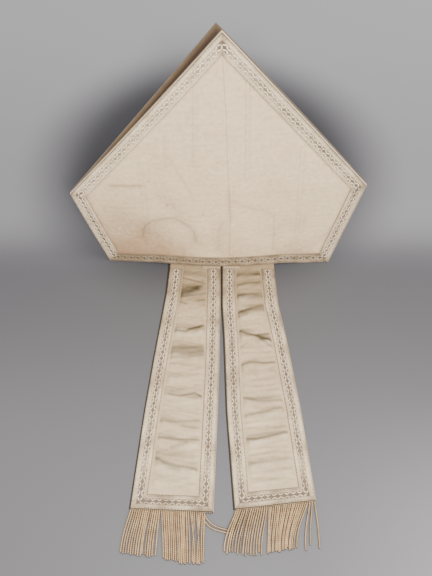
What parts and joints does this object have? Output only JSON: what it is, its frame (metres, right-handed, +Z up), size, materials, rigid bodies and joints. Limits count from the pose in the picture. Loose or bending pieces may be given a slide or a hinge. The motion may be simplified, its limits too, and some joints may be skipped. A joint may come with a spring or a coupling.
{
  "type": "bishop mitre",
  "caption": "Bishop's mitre folded nearly flat: pointed silk panels joined by a gusset and bordered with galloon, with fringed lappets laid out from the back hem.",
  "frame": {"origin": "middle of the footprint, on the surface that the mitre stands on", "axes": "+Z up, +X to the right as seen from behind the mitre, -Y from the mitre along the lappets to the fringes"},
  "size_m": [0.357, 0.4544, 0.3331],
  "materials": {
    "silk": "ivory silk with a fine cross rib, satin sheen, faint tide marks and creases",
    "galloon": "cream woven galloon with a chain of small knots, dulled and brown along the hem",
    "lining": "golden-brown silk lining cloth, soft sheen",
    "bullion": "twisted golden-beige bullion cords, satin, darker at the tips"
  },
  "bodies": {
    "root": {"back_panel": "silk", "front_panel": "silk", "back_trim_base": "galloon", "back_trim_lower_right": "galloon", "back_trim_upper_right": "galloon", "back_trim_upper_left": "galloon", "back_trim_lower_left": "galloon", "front_trim_base": "galloon", "front_trim_lower_right": "galloon", "front_trim_upper_right": "galloon", "front_trim_upper_left": "galloon", "front_trim_lower_left": "galloon", "gusset": "lining", "lappet_left": "silk", "lappet_left_trim_outer": "galloon", "lappet_left_trim_inner": "galloon", "lappet_left_trim_bottom": "galloon", "fringe_left": "bullion", "lappet_right": "silk", "lappet_right_trim_outer": "galloon", "lappet_right_trim_inner": "galloon", "lappet_right_trim_bottom": "galloon", "fringe_right": "bullion"}
  },
  "joints": []
}
